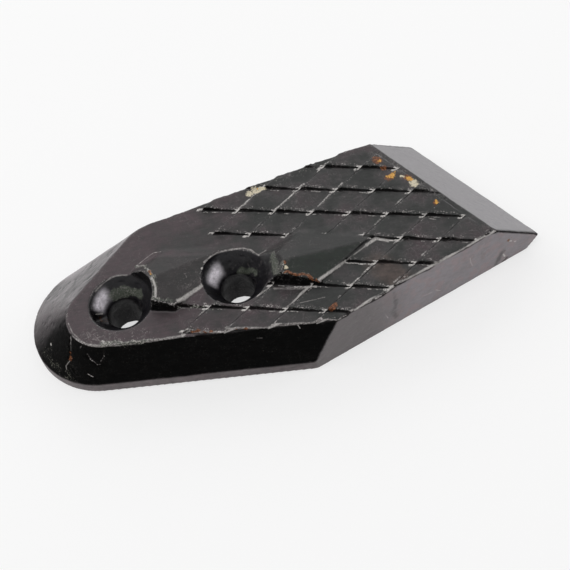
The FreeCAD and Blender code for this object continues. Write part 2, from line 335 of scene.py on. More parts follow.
@dataclass(frozen=True)
class ScaleLattice:
    """Skewed lattice of the scales: rows of risers crossed by columns of heels.

    Sizes are in millimetres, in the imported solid's frame.
    """

    origin: tuple[float, float] = (86.4, 54.5)
    row_angle: float = 17.2
    column_angle: float = 35
    row_pitch: float = 14.8
    column_pitch: float = 14.24
    lean: float = 0.16
    fewest_step_points: int = 30

    @property
    def across_rows(self) -> np.ndarray:
        """Direction across the rows, away from the near edge."""
        return heading(90 - self.row_angle)

    @property
    def across_columns(self) -> np.ndarray:
        """Direction across the columns, away from the tail."""
        return heading(self.column_angle - 90)

    def spacing(self, across: np.ndarray) -> float:
        """Distance between two lines of the family that a direction crosses."""
        pitch = self.column_pitch if across @ self.across_rows > 0.5 else self.row_pitch
        return pitch * math.sin(math.radians(self.row_angle + self.column_angle))

    def start(self, across: np.ndarray) -> float:
        """Place of one line of the family, along the direction that crosses it."""
        return float(np.dot(across[:2], self.origin)) + self.lean

    def count(self, points: np.ndarray, across: np.ndarray) -> np.ndarray:
        """Place of each point across the lines, in spacings."""
        return (points @ across - self.start(across)) / self.spacing(across)

    def drawn(self, points: np.ndarray, steps: np.ndarray, across: np.ndarray,
              along: np.ndarray) -> np.ndarray:
        """Where the nearest line is a real step of the face.

        Args:
            points: rows of coordinates.
            steps: which of them lie on a step.
            across: direction across the family of lines.
            along: direction across the other family, which cuts the lines into stretches.

        Returns:
            1 or 0 at each point.
        """
        line = np.rint(self.count(points, across)).astype(int)
        stretch = np.floor(self.count(points, along)).astype(int)
        key = line * 1000 + stretch
        found, number = np.unique(key[steps], return_counts=True)
        return np.isin(key, found[number >= self.fewest_step_points]).astype(float)

    def gap(self, graph: Graph, place: Value, across: np.ndarray) -> tuple[Value, Value]:
        """Nodes that measure a place against one family of lines.

        Args:
            graph: tree of the material.
            place: coordinates in metres.
            across: direction across the family of lines.

        Returns:
            The signed distance from the nearest line in millimetres, and the share of the way
            from the line before to the line after.
        """
        spacing = self.spacing(across)
        reach = graph.vector("DOT_PRODUCT", place, Vector(across) / MILLIMETRE, output="Value")
        reach = reach - self.start(across)
        gap = graph.node("ShaderNodeMath", {"operation": "WRAP"},
                         {0: reach, 1: spacing / 2, 2: -spacing / 2})
        share = graph.node("ShaderNodeMath", {"operation": "FRACT"}, {0: reach * (1 / spacing)})
        return gap, share


class Skin:
    """Vertices and edges of a mesh as arrays, in millimetres."""

    def __init__(self, mesh: bpy.types.Mesh) -> None:
        """Read a mesh."""
        self.mesh = mesh
        self.points = self._read(mesh.vertices, "co", float).reshape(-1, 3) / MILLIMETRE
        self.edges = self._read(mesh.edges, "vertices", int, 2).reshape(-1, 2)
        ends = self.edges.ravel()
        self.degree = np.bincount(ends, minlength=len(self.points))[:, None]

    @staticmethod
    def _read(items: Any, name: str, kind: type, width: int = 3) -> np.ndarray:
        """Read one property of every item into a flat array."""
        values = np.empty(len(items) * width, kind)
        items.foreach_get(name, values)
        return values

    def normals(self) -> np.ndarray:
        """Outward direction at each vertex."""
        self.write()
        return self._read(self.mesh.vertex_normals, "vector", float).reshape(-1, 3)

    def write(self) -> None:
        """Put the points back into the mesh."""
        self.mesh.vertices.foreach_set("co", (self.points * MILLIMETRE).ravel())
        self.mesh.update()

    def averaged(self, values: np.ndarray, times: int, strength: float = 0.5) -> np.ndarray:
        """Values moved towards the mean of their neighbours.

        Args:
            values: one row a vertex.
            times: number of passes.
            strength: share of the way moved in each pass.

        Returns:
            The smoothed rows.
        """
        first, second = self.edges.T
        count = len(self.points)
        values = values.reshape(count, -1).copy()
        for _ in range(times):
            total = np.stack([np.bincount(first, column[second], count)
                              + np.bincount(second, column[first], count)
                              for column in values.T], axis=1)
            values += strength * (total / self.degree - values)
        return values

    def push(self, amount: np.ndarray) -> None:
        """Move each vertex along its outward direction."""
        self.points += self.normals() * amount[:, None]

    def bulge(self, times: int) -> np.ndarray:
        """How far each vertex stands out of its smoothed surroundings, in millimetres."""
        gap = self.points - self.averaged(self.points, times)
        return np.sum(gap * self.normals(), axis=1)

    def store(self, mask: Mask, values: np.ndarray) -> None:
        """Keep one mask on the mesh."""
        layer = self.mesh.attributes.new(mask.value, "FLOAT", "POINT")
        layer.data.foreach_set("value", np.clip(values, 0, 1).astype(np.float32))


@dataclass(frozen=True)
class Spot:
    """A small patch of rust or chalky dirt, placed on the forging in millimetres."""

    place: Triple
    radius: float

    def cover(self, points: np.ndarray) -> np.ndarray:
        """Soft-edged cover of the patch at each point."""
        return smooth_step(np.linalg.norm(points - self.place, axis=1), self.radius, 0)


@dataclass(frozen=True)
class Stroke:
    """A chain of points along a line of wear, a dent, a smear or a painted highlight, in millimetres.
    """

    radius: float
    points: tuple[Triple, ...]
    strength: float = 1.0

    def cover(self, points: np.ndarray) -> np.ndarray:
        """Soft-edged cover of the line at each point."""
        nearest = np.full(len(points), 1e3)
        for start, end in itertools.pairwise(np.array(self.points)):
            run = end - start
            share = np.clip((points - start) @ run / (run @ run), 0, 1)
            gap = np.linalg.norm(points - start - share[:, None] * run, axis=1)
            nearest = np.minimum(nearest, gap)
        return self.strength * smooth_step(nearest, self.radius, 0.3 * self.radius)


WORN_STROKES = (
    Stroke(2.6, ((9.6, 16.4, 25.9), (13.3, 10.5, 29.7), (14.8, 4.3, 32.1), (15.2, -1.9, 31.6),
                 (15.4, -5.4, 31.0))),
    Stroke(1.6, ((8.5, 15.9, 25.5), (12.1, 18.3, 25.7), (17.1, 19.9, 25.7))),
    Stroke(2.2, ((14.6, -5.8, 30.9), (20.2, -7.6, 29.3), (32.0, -1.2, 26.6))),
    Stroke(2.4, ((75.9, -11.9, 28.5), (88.6, -4.6, 27.1), (101.7, 2.9, 26.4))),
    Stroke(2.0, ((58.5, -9.2, 26.0), (71.9, -13.4, 26.0))),
    Stroke(2.2, ((98.7, 2.4, 26.1), (109.8, -1.2, 26.1))),
    Stroke(1.8, ((36.5, 33.0, 25.6), (43.1, 31.1, 25.6))),
    Stroke(2.0, ((75.7, -29.3, 24.5), (86.1, -26.6, 25.8), (105.1, -20.0, 25.9),
                 (126.4, -12.5, 26.0), (146.3, -5.8, 25.5))),
    Stroke(3.0, ((-20.7, -11.5, 24.9), (-11.0, -16.6, 25.3), (0.5, -18.4, 25.4),
                 (12.1, -19.6, 25.4), (24.2, -20.4, 26.0), (33.3, -22.2, 25.7),
                 (42.8, -23.2, 26.5), (50.8, -24.7, 25.6), (61.5, -25.9, 26.3),
                 (76.2, -28.2, 25.8))),
    Stroke(2.2, ((34.8, 8.0, 25.6), (39.3, 12.0, 25.6), (47.2, 12.8, 25.6), (52.5, 10.3, 25.6))),
    Stroke(2.2, ((-10.8, 7.2, 25.5), (-7.0, 10.7, 25.5), (-0.9, 12.7, 25.5), (4.2, 12.1, 25.5))),
)

# Where the painted highlights along the scale lines are stronger.
PALE_STROKES = (
    Stroke(2.2, ((51.1, 30.2, 25.8), (63.5, 39.6, 25.8))),
    Stroke(2.2, ((65.4, 26.2, 25.8), (78.6, 36.1, 25.7))),
    Stroke(2.2, ((80.9, 21.2, 25.9), (91.1, 29.7, 25.8))),
    Stroke(2.0, ((86.6, 41.2, 25.5), (94.6, 44.4, 26.0))),
    Stroke(3.0, ((75.8, -12.3, 26.4), (85.1, -6.6, 26.5), (101.2, 2.9, 26.0))),
    Stroke(2.2, ((101.1, 2.2, 25.9), (109.8, -1.4, 26.0))),
    Stroke(1.8, ((87.7, -16.4, 26.0), (97.9, -7.9, 25.8))),
    Stroke(2.4, ((85.0, -6.8, 26.4), (90.1, -5.5, 25.5), (97.1, -8.2, 25.5))),
    Stroke(2.6, ((56.5, -9.9, 26.0), (64.4, -11.4, 25.7), (70.8, -12.5, 25.5))),
    Stroke(2.4, ((63.4, -20.2, 26.0), (72.5, -13.4, 26.0))),
    Stroke(2.8, ((26.9, -4.6, 26.4), (31.2, -1.6, 26.4))),
    Stroke(2.0, ((54.9, -26.2, 24.9), (62.0, -21.1, 26.0))),
    Stroke(1.8, ((31.3, -13.1, 26.0), (37.2, -14.2, 25.9))),
)

DENTS = (
    Stroke(1.1, ((-16.1, -16.8, 20.7), (-15.4, -17.9, 18.4), (-13.6, -19.3, 15.9),
                 (-11.6, -19.2, 16.6), (-10.0, -18.8, 20.0), (-9.3, -18.1, 23.0))),
    Stroke(0.9, ((-20.7, -9.5, 24.9), (-22.6, -12.4, 19.3), (-23.8, -13.5, 15.9))),
    Stroke(0.8, ((150.0, -4.6, 0.6), (152.4, -3.7, 2.9))),
)

DARK_SMEARS = (
    Stroke(1.5, ((149.6, -4.7, 7.6), (148.4, -5.1, 4.2), (147.0, -5.6, 0.8)), 0.75),
    Stroke(0.9, ((102.9, -21.0, 22.8), (102.7, -21.1, 12.0), (102.2, -21.3, 4.2)), 0.7),
    Stroke(1.1, ((101.2, -21.6, 11.1), (102.4, -21.2, 4.8)), 0.6),
    Stroke(1.2, ((140.5, -8.0, 15.5), (141.0, -7.8, 12.0)), 0.25),
)

SCUFF_STROKES = (
    Stroke(4.5, ((-34.0, -4.2, 9.2), (-32.0, -9.1, 8.7), (-29.5, -13.0, 8.1), (-26.5, -15.7, 6.8))),
    Stroke(3.0, ((-25.0, -13.8, 13.7), (-22.6, -16.4, 9.0))),
    Stroke(2.0, ((-30.8, -3.6, 13.7), (-30.4, -4.6, 13.2))),
    Stroke(6.0, ((-14.0, -12.0, 25.5), (6.0, -17.0, 25.5))),
    Stroke(4.5, ((31.0, 3.5, 27.0), (25.0, 1.0, 28.5))),
    Stroke(4.0, ((111.0, 44.0, 25.8), (129.5, 15.0, 25.8))),
    Stroke(6.0, ((60.0, 40.0, 26.0), (88.0, 47.0, 26.0))),
    Stroke(5.0, ((138.0, -9.0, 12.0), (156.0, -3.0, 10.0))),
)

GRIT_STROKES = (
    Stroke(3.2, ((60.7, 2.2, 29.3), (61.0, -1.1, 29.6), (60.5, -4.6, 29.6))),
    Stroke(2.0, ((61.8, -7.0, 31.4), (62.7, -4.1, 32.0), (63.8, -3.6, 33.0)), 0.8),
    Stroke(1.3, ((8.2, 15.0, 25.5), (10.7, 13.9, 26.8), (13.0, 8.0, 30.7), (14.2, 4.3, 32.0),
                 (14.4, 1.6, 31.9), (14.7, -1.1, 31.4), (14.2, -5.0, 31.2))),
    Stroke(0.9, ((12.7, -4.9, 31.5), (16.4, -6.0, 30.4), (20.6, -7.0, 29.2)), 0.9),
    Stroke(1.2, ((63.6, -7.7, 32.4), (67.6, -8.4, 31.4), (71.8, -10.0, 30.0)), 0.8),
    Stroke(4.0, ((-3.2, 8.1, 20.0), (1.5, 8.2, 20.0), (6.8, 5.6, 20.5)), 0.85),
    Stroke(2.6, ((47.2, 6.9, 18.3), (50.3, 5.9, 19.2), (53.2, 3.3, 20.5)), 0.75),
    Stroke(1.3, ((-9.6, -16.6, 25.5), (-2.9, -17.9, 25.5), (8.0, -19.2, 25.5)), 0.9),
    Stroke(1.0, ((21.1, -9.0, 26.2), (26.1, -9.6, 25.9), (31.5, -11.2, 25.9), (34.4, -12.6, 26.1)),
           0.7),
)

DUST_STROKES = (
    Stroke(7.0, ((99.5, -9.0, 26.0), (106.0, -19.0, 26.0))),
)

SCRATCHES = (
    Stroke(0.40, ((-20.7, -9.5, 24.9), (-22.6, -12.4, 19.3)), 0.8),
    Stroke(0.35, ((-16.1, -16.8, 20.7), (-15.4, -17.9, 18.4), (-13.6, -19.3, 15.9),
                  (-12.4, -19.5, 15.9)), 1.1),
    Stroke(0.35, ((-9.3, -18.1, 23.0), (-10.0, -18.8, 20.0), (-11.6, -19.2, 17.6)), 1.1),
    Stroke(0.25, ((-15.9, -14.2, 25.3), (-18.1, -14.5, 22.8)), 0.7),
    Stroke(0.25, ((-22.8, -14.1, 16.5), (-26.4, -13.9, 11.5), (-26.7, -15.1, 8.9)), 0.7),
    Stroke(0.22, ((-18.4, -19.3, 10.9), (-16.9, -20.3, 9.5))),
    Stroke(0.22, ((50.1, -26.6, 20.7), (48.2, -26.3, 21.0)), 0.35),
    Stroke(0.22, ((66.9, -19.1, 27.0), (76.6, -18.3, 25.9)), 0.5),
    Stroke(0.25, ((96.0, -24.0, 20.0), (99.2, -22.4, 7.5))),
    Stroke(0.25, ((74.0, 17.0, 27.0), (90.0, 14.5, 26.8))),
    Stroke(0.22, ((118.0, 8.0, 26.0), (132.0, 3.0, 26.0))),
    Stroke(0.22, ((8.2, 15.0, 25.5), (11.5, 17.1, 25.5), (15.6, 19.4, 25.5), (18.5, 19.2, 25.5)),
           0.7),
)

# Painted highlights along ramp crests and toes and along the near edges.
HIGHLIGHT_BANDS = (
    Stroke(0.80, ((75.7, -11.8, 28.4), (81.1, -9.0, 27.9), (87.3, -5.1, 27.0)), 0.95),
    Stroke(0.45, ((87.3, -5.1, 27.0), (94.0, -1.4, 26.4), (97.0, 0.4, 26.1)), 0.45),
    Stroke(0.75, ((97.0, 0.4, 26.1), (101.3, 2.8, 25.7), (105.5, 0.6, 25.8)), 0.8),
    Stroke(0.40, ((101.3, 2.6, 25.7), (109.8, -1.4, 26.0)), 0.8),
    Stroke(0.95, ((22.2, -7.2, 28.4), (27.0, -4.4, 27.3), (31.7, -1.4, 26.3)), 0.9),
    Stroke(0.65, ((71.1, -12.3, 25.5), (67.6, -14.7, 25.5), (64.3, -17.5, 25.5)), 0.8),
    Stroke(0.70, ((71.6, -12.3, 25.5), (74.1, -13.0, 25.8))),
    Stroke(0.50, ((33.3, 5.8, 27.4), (33.7, 6.0, 27.3))),
    Stroke(0.50, ((14.0, 3.6, 32.0), (14.5, 1.6, 31.9), (14.8, -1.1, 31.4), (14.2, -5.0, 31.2)), 0.75),
    Stroke(0.35, ((8.4, 15.0, 25.6), (10.9, 13.9, 26.8), (13.1, 8.4, 30.6)), 0.55),
    Stroke(0.45, ((-8.9, -15.4, 25.5), (-8.5, -15.8, 25.5))),
    Stroke(0.45, ((21.0, -21.0, 25.5), (23.2, -20.4, 26.2), (24.2, -20.4, 26.7)), 0.8),
    Stroke(0.40, ((36.8, -23.6, 25.4), (39.5, -23.7, 26.5), (41.2, -23.4, 26.7)), 0.7),
    Stroke(0.45, ((53.4, -25.8, 25.2), (55.9, -25.9, 26.4), (57.0, -25.7, 26.5)), 0.8),
    Stroke(0.40, ((71.3, -28.2, 25.1), (73.7, -28.4, 26.0), (74.6, -28.3, 26.2)), 0.8),
    Stroke(0.45, ((-30.9, -3.8, 13.5), (-30.7, -4.2, 13.3))),
    Stroke(0.30, ((64.3, -27.3, 25.3), (64.8, -27.8, 23.7)), 0.8),
    Stroke(0.25, ((135.2, -9.7, 16.8), (135.6, -9.6, 13.0), (136.4, -9.3, 10.4)), 0.42),
    Stroke(0.25, ((114.9, -16.9, 8.5), (118.4, -15.6, 8.1)), 0.45),
    Stroke(0.30, ((120.2, -15.0, 7.9), (122.4, -14.3, 5.1)), 0.5),
    Stroke(0.50, ((150.2, -4.5, 1.2), (152.2, -3.8, 2.6)), 0.8),
    Stroke(0.45, ((150.3, -4.5, 6.1), (151.0, -4.2, 4.0))),
    Stroke(0.45, ((153.0, -3.5, 12.8), (153.7, -3.2, 12.2)), 0.9),
    Stroke(0.40, ((155.3, -2.7, 10.4), (155.8, -2.5, 10.0)), 0.9),
    Stroke(0.35, ((-10.6, -0.2, 21.4), (-8.4, 0.6, 19.6)), 0.7),
    Stroke(0.55, ((146.3, -5.6, 25.0), (141.8, -7.2, 25.8), (136.4, -8.9, 25.5), (130.7, -11.2, 25.6),
                  (118.2, -15.1, 25.7), (105.5, -19.4, 26.2), (93.0, -23.4, 25.7),
                  (86.2, -26.6, 25.5)), 0.85),
)

WORN_EDGES = (
    Stroke(0.45, ((34.5, 8.5, 27.4), (37.4, 10.8, 26.8), (40.1, 12.2, 26.2), (43.3, 12.8, 25.7),
                  (46.7, 12.8, 25.5), (50.3, 12.3, 25.5), (53.0, 10.7, 25.5), (55.7, 7.2, 25.7),
                  (58.9, 8.5, 26.1))),
    Stroke(0.45, ((57.1, -8.3, 25.5), (51.6, -11.0, 25.4))),
    Stroke(0.45, ((-9.1, 8.0, 24.8), (-5.9, 10.6, 25.0), (-2.4, 12.3, 25.3), (-0.1, 12.7, 25.5),
                  (4.0, 12.0, 25.3)), 0.8),
    Stroke(0.30, ((-20.9, -4.1, 25.5), (-19.8, -8.6, 25.5), (-17.3, -12.6, 25.5),
                  (-14.7, -15.4, 25.5)), 0.7),
    Stroke(0.65, ((-14.7, -15.4, 25.4), (-11.4, -16.9, 25.3), (-7.7, -17.7, 25.2),
                  (-2.9, -18.3, 25.0))),
    Stroke(0.75, ((-2.9, -18.3, 25.0), (3.5, -18.9, 25.0), (7.9, -19.5, 25.2), (11.5, -20.1, 25.3))),
    Stroke(0.55, ((11.5, -20.1, 25.3), (20.3, -20.8, 25.5), (24.2, -20.5, 26.4), (31.9, -22.3, 26.0),
                  (36.8, -23.5, 25.8), (41.7, -23.4, 26.5), (49.4, -25.0, 25.9), (53.1, -25.6, 25.5),
                  (56.3, -25.9, 26.2), (65.4, -27.1, 25.8), (73.8, -28.3, 26.0))),
    Stroke(0.65, ((16.4, -20.6, 25.5), (20.3, -20.8, 25.5), (23.0, -20.5, 26.2))),
    Stroke(0.65, ((36.8, -23.5, 25.8), (40.1, -23.5, 26.6))),
    Stroke(0.65, ((53.1, -25.6, 25.5), (56.3, -25.9, 26.3))),
    Stroke(0.70, ((58.6, -9.9, 26.0), (64.6, -10.9, 25.7), (70.5, -12.2, 25.5)), 0.8),
)

RUST_STROKES = (
    Stroke(1.0, ((64.2, -7.6, 32.4), (68.4, -8.9, 31.2), (72.6, -10.6, 29.6), (75.5, -11.9, 28.6))),
    Stroke(0.8, ((24.6, -20.5, 26.8), (28.4, -20.9, 26.5), (31.9, -22.3, 26.1))),
    Stroke(0.7, ((41.7, -23.3, 26.7), (45.8, -24.1, 26.2))),
    Stroke(1.0, ((-22.7, -12.6, 18.9), (-23.1, -13.2, 17.5), (-23.8, -13.5, 15.9))),
    Stroke(0.8, ((12.9, 8.4, 30.6), (13.9, 5.2, 31.8))),
    Stroke(2.2, ((-9.4, -0.9, 18.0), (-7.4, -1.4, 17.6)), 0.4),
)

RUST_SPOTS = (
    Spot((110.3, 39.0, 26.8), 3.6),
    Spot((112.4, 35.0, 26.4), 2.2),
    Spot((112.6, 29.4, 26.8), 3.4),
    Spot((119.9, 28.0, 25.8), 3.6),
    Spot((127.4, 13.5, 25.7), 2.4),
    Spot((78.6, -23.6, 27.2), 3.4),
    Spot((152.1, -3.8, 13.5), 2.0),
    Spot((153.4, -3.3, 14.0), 1.2),
    Spot((64.5, -3.8, 33.2), 2.0),
)

OCHRE_SPOTS = (
    Spot((110.8, 38.2, 26.8), 1.5),
    Spot((114.1, 30.6, 26.8), 3.4),
    Spot((128.2, 13.6, 25.7), 1.9),
    Spot((120.4, 27.0, 25.8), 2.4),
    Spot((13.9, 5.6, 31.6), 1.3),
    Spot((60.9, 39.4, 25.8), 1.0),
)

CHALK_SPOTS = (
    Spot((122.0, 24.4, 25.8), 4.0),
    Spot((118.4, 28.8, 25.8), 1.8),
    Spot((57.6, 37.6, 25.6), 3.0),
    Spot((60.6, 38.0, 25.6), 3.6),
    Spot((62.6, 38.4, 25.6), 3.0),
    Spot((64.4, -5.8, 32.7), 1.6),
)


@dataclass
class Forging:
    """The forging's own skin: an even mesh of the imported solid, worn and dented.

    Sizes are in millimetres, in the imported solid's frame.
    """

    node: bpy.types.Object
    near_edge_angle: float = 7.6
    side_angle: float = 19.3
    front_angle: float = 124
    bevel_angle: float = 43
    seat_highlight_angle: float = 146
    rim_height: float = 5
    face_height: float = 25.5
    mouth_radius: float = 12.6
    mesh_step: float = 0.4
    triangles: int = 190000
    seed: int = 20
    softening_passes: int = 14
    swell: float = 0.12
    swell_size: float = 13
    ripple: float = 0.045
    ripple_size: float = 2.6
    pit_depth: float = 0.08
    pit_size: float = 1.5
    wobble: float = 0.16
    wobble_size: float = 4.5
    chip_depth: float = 0.32
    chip_size: float = 2.1
    dent_depth: float = 0.34
    holes: list[np.ndarray] = field(default_factory=list)
    lattice: ScaleLattice = ScaleLattice()

    def build(self) -> bpy.types.Object:
        """Make the worn piece.

        Returns:
            The new object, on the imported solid's place.
        """
        piece = bpy.data.objects.new("forged_point", self.node.data.copy())
        bpy.context.scene.collection.objects.link(piece)
        self._apply(piece, "REMESH", mode="VOXEL", voxel_size=self.mesh_step * MILLIMETRE)
        self._wear(Skin(piece.data))
        share = self.triangles / (2 * len(piece.data.polygons))
        self._apply(piece, "DECIMATE", ratio=min(share, 1))
        piece.data.shade_smooth()
        log.info("%s: %d triangles", piece.name, sum(len(p.vertices) - 2 for p in piece.data.polygons))
        return piece

    def _apply(self, piece: bpy.types.Object, kind: str, **settings: Any) -> None:
        """Give the piece the mesh that one modifier makes of it."""
        modifier = piece.modifiers.new(kind.lower(), kind)
        for name, setting in settings.items():
            setattr(modifier, name, setting)
        graph = bpy.context.evaluated_depsgraph_get()
        made = bpy.data.meshes.new_from_object(
            piece.evaluated_get(graph), preserve_all_data_layers=True, depsgraph=graph)
        piece.modifiers.clear()
        old = piece.data
        piece.data = made
        bpy.data.meshes.remove(old)

    def _wear(self, skin: Skin) -> None:
        """Round the edges, roughen the skin and store the masks of the paint."""
        low, high = skin.points.min(axis=0), skin.points.max(axis=0)
        back = smooth_step(skin.points[:, 2], 0.6, 0.2)
        lines = self._lines(skin)
        skin.points = skin.averaged(skin.points, 3)
        feet = self._feet(skin)
        crests = smooth_step(skin.bulge(8), 0.04, 0.12)
        worn = np.max([stroke.cover(skin.points) for stroke in WORN_STROKES], axis=0)
        crests = skin.averaged(crests, 1)[:, 0]
        lines[Mask.EDGE] = crests
        soft = np.maximum(feet, skin.averaged(crests * worn, 2)[:, 0])[:, None]
        for _ in range(self.softening_passes):
            skin.points += soft * (skin.averaged(skin.points, 1) - skin.points)
        points = skin.points.copy()
        grain = Grain(self.seed)
        swell = self.swell * grain.rough(points, self.swell_size, 2)
        uneven = swell + self.ripple * grain.rough(points, self.ripple_size, 2)
        pits = -self.pit_depth * smooth_step(grain.at(points + 7, self.pit_size), 0.42, 0.75)
        edge = smooth_step(skin.bulge(6), 0.03, 0.10)
        wobble = self.wobble * edge * grain.at(points + 5, self.wobble_size)
        chipped = smooth_step(grain.at(points + 3, self.chip_size), 0.25, 0.7)
        chips = -self.chip_depth * edge * chipped
        bent = points + 0.9 * np.stack([grain.at(points + k, 1.8) for k in (21, 22, 23)], axis=1)
        dents = -self.dent_depth * np.max([dent.cover(bent) for dent in DENTS], axis=0)
        skin.push((1 - back) * (uneven + pits + chips + wobble + dents))
        skin.points = np.clip(skin.points, low, high)
        self._mask(skin, grain, lines)
        skin.write()

    def _lines(self, skin: Skin) -> dict[Mask, np.ndarray]:
        """Find the lines of the lattice that are steps of the face, before they are rounded.

        Args:
            skin: the sharp skin.

        Returns:
            1 or 0 at each vertex, for the rows and for the columns.
        """
        points = skin.points
        normals = skin.normals()
        on_face = (points[:, 2] > self.face_height + 0.1) & (points[:, 2] < self.face_height + 1.6)
        on_face &= self._bore(points) > self.mouth_radius + 0.5
        on_face &= normals[:, 2] < 0.66
        rows, columns = self.lattice.across_rows, self.lattice.across_columns
        risers = on_face & (-normals @ rows > 0.5)
        heels = on_face & (-normals @ columns > 0.5)
        return {Mask.ROW_LINE: self.lattice.drawn(points, risers, rows, columns),
                Mask.COLUMN_LINE: self.lattice.drawn(points, heels, columns, rows)}

    def _bore(self, points: np.ndarray) -> np.ndarray:
        """Distance of each point from the axis of the nearest bolt hole."""
        return np.min([np.linalg.norm(points[:, :2] - hole[:2], axis=1) for hole in self.holes], axis=0)

    def _feet(self, skin: Skin) -> np.ndarray:
        """Where a scale's heel or a ramp's toe meets the face, for its fillet.

        Args:
            skin: the rounded skin.

        Returns:
            0 to 1 at each vertex.
        """
        along = abs(skin.averaged(skin.normals(), 2) @ self.lattice.across_columns)
        hollow = smooth_step(-skin.bulge(8), 0.04, 0.14)
        return skin.averaged(hollow * smooth_step(along, 0.10, 0.30), 2)[:, 0]

    def _mask(self, skin: Skin, grain: Grain, lines: dict[Mask, np.ndarray]) -> None:
        """Work out and store every mask.

        Args:
            skin: the finished skin.
            grain: noise that frays the patches.
            lines: where the lattice's lines are steps of the face, and the sharp edges.
        """
        points = skin.points
        normals = skin.averaged(skin.normals(), 2)
        height = points[:, 2]
        near = -heading(90 - self.near_edge_angle)
        side = heading(self.side_angle - 90)
        front = heading(self.front_angle - 90)
        tilt = math.radians(self.bevel_angle)
        bevel = front * math.sin(tilt) + np.array([0, 0, math.cos(tilt)])
        upward = normals[:, 2]
        low_down = smooth_step(height, self.face_height + 1.2, self.face_height - 0.4)
        bore = self._bore(points)
        # Painted highlight: a bright patch on the far tail side of each bowl, where a lamp would glint.
        seat_highlight = np.zeros(len(points))
        for hole in self.holes:
            offset = points - (*hole[:2], self.face_height)
            radius = np.maximum(np.linalg.norm(offset[:, :2], axis=1), 1)
            towards = offset @ heading(self.seat_highlight_angle) / radius
            ring = smooth_step(radius, 7.0, 9.4) * smooth_step(radius, 12.0, 9.8)
            seat_highlight = np.maximum(seat_highlight, smooth_step(towards, 0.82, 0.995) * ring)
        outside = smooth_step(bore, self.mouth_radius, self.mouth_radius + 1)
        on_side = smooth_step(normals @ side, 0.93, 0.98) * smooth_step(points[:, 0], 55, 60)
        on_bevel = smooth_step(normals @ bevel, 0.93, 0.98)
        rim = smooth_step(height, self.rim_height + 0.5, self.rim_height - 0.3)
        steep = smooth_step(upward, 0.86, 0.72) * outside * (1 - on_side) * (1 - on_bevel)
        wall = steep * low_down * (1 - rim) * smooth_step(bore, 14.5, 16.0)
        # Painted shade and sheen: walls facing the near side get a near-black paint, walls facing the
        # far side a lighter one.
        turned = normals @ near
        facing = smooth_step(turned + 0.012 * (height - 12), -0.36, 0.34)
        riser = smooth_step(-normals @ self.lattice.across_rows, 0.35, 0.65)
        above = smooth_step(height, self.face_height - 0.2, self.face_height + 0.4)
        skin.store(Mask.NEAR_WALL, wall * facing)
        skin.store(Mask.FAR_WALL, smooth_step(-turned, 0.22, 0.52))
        skin.store(Mask.WALL, wall)
        skin.store(Mask.SIDE, on_side)
        skin.store(Mask.BEVEL, on_bevel)
        skin.store(Mask.RIM, rim * steep)
        # Painted shade: the bolt-head bowls and the steep ground before them are painted near black.
        ahead = smooth_step(upward, 0.80, 0.60) * smooth_step(bore, 17.5, 16.0)
        mouth = 1 - smooth_step(bore, self.mouth_radius - 0.3, self.mouth_radius + 0.5)
        skin.store(Mask.BOWL, np.maximum(mouth, ahead))
        # Painted shade: ramp facets that lean towards the near side are painted darker.
        leaning = smooth_step(normals[:, 1], -0.15, -0.28) * smooth_step(upward, 0.8, 0.9)
        skin.store(Mask.FACET, leaning * smooth_step(height, 26.4, 27.4) * outside)
        skin.store(Mask.LEAD, smooth_step(height, 26.8, 27.6) * outside)
        proud = skin.averaged(skin.bulge(8), 1)[:, 0]
        # Painted shade on the scales' risers.
        skin.store(Mask.RISER, riser * above * outside)
        on_face = smooth_step(height, self.face_height - 0.5, self.face_height) * outside
        on_face = on_face * (1 - on_side) * (1 - on_bevel) * (1 - wall)
        for mask in (Mask.ROW_LINE, Mask.COLUMN_LINE):
            skin.store(mask, lines[mask] * on_face)
        bent = points + 0.8 * grain.at(points + 24, 1.1)[:, None]
        smears = np.max([smear.cover(bent) for smear in DARK_SMEARS], axis=0)
        # Painted shade towards the side face's tail end, together with the real dark smears.
        shade = smooth_step(points[:, 0] + 4 * grain.at(points, 9), 114, 90)
        skin.store(Mask.SIDE_SHADE, np.maximum(shade, smears))
        skin.store(Mask.SEAT, seat_highlight)
        # The bores get painted light and dark upright bands, stronger deeper down.
        deep = 0.35 + 0.65 * smooth_step(height, 17, 10)
        skin.store(Mask.BORE, smooth_step(bore, 7.4, 6.9) * deep)
        # Painted shade: a thin dark line along the bevel's edges.
        wide = skin.averaged(on_bevel, 5)[:, 0]
        skin.store(Mask.BORDER, 4 * wide * (1 - wide))
        skin.store(Mask.EDGE, np.maximum(smooth_step(proud, 0.04, 0.16), lines[Mask.EDGE]))
        skin.store(Mask.BROW, smooth_step(skin.bulge(36), 0.06, 0.35))
        # Painted shade in concave creases, together with the real dark smears.
        skin.store(Mask.HOLLOW, np.maximum(smooth_step(-proud, 0.03, 0.14), smears))
        warped = points + np.stack([0.8 * grain.at(points + k, 2.1) + 0.5 * grain.at(points - k, 0.9)
                                    for k in (11, 12, 13)], axis=1)
        for mask, patches in ((Mask.WORN, WORN_STROKES), (Mask.PALE, PALE_STROKES),
                              (Mask.SCUFF, SCUFF_STROKES), (Mask.GRIT, GRIT_STROKES),
                              (Mask.DUST, DUST_STROKES),
                              (Mask.RUST, (*RUST_STROKES, *RUST_SPOTS)),
                              (Mask.OCHRE, OCHRE_SPOTS), (Mask.CHALK, CHALK_SPOTS)):
            skin.store(mask, np.max([patch.cover(warped) for patch in patches], axis=0))


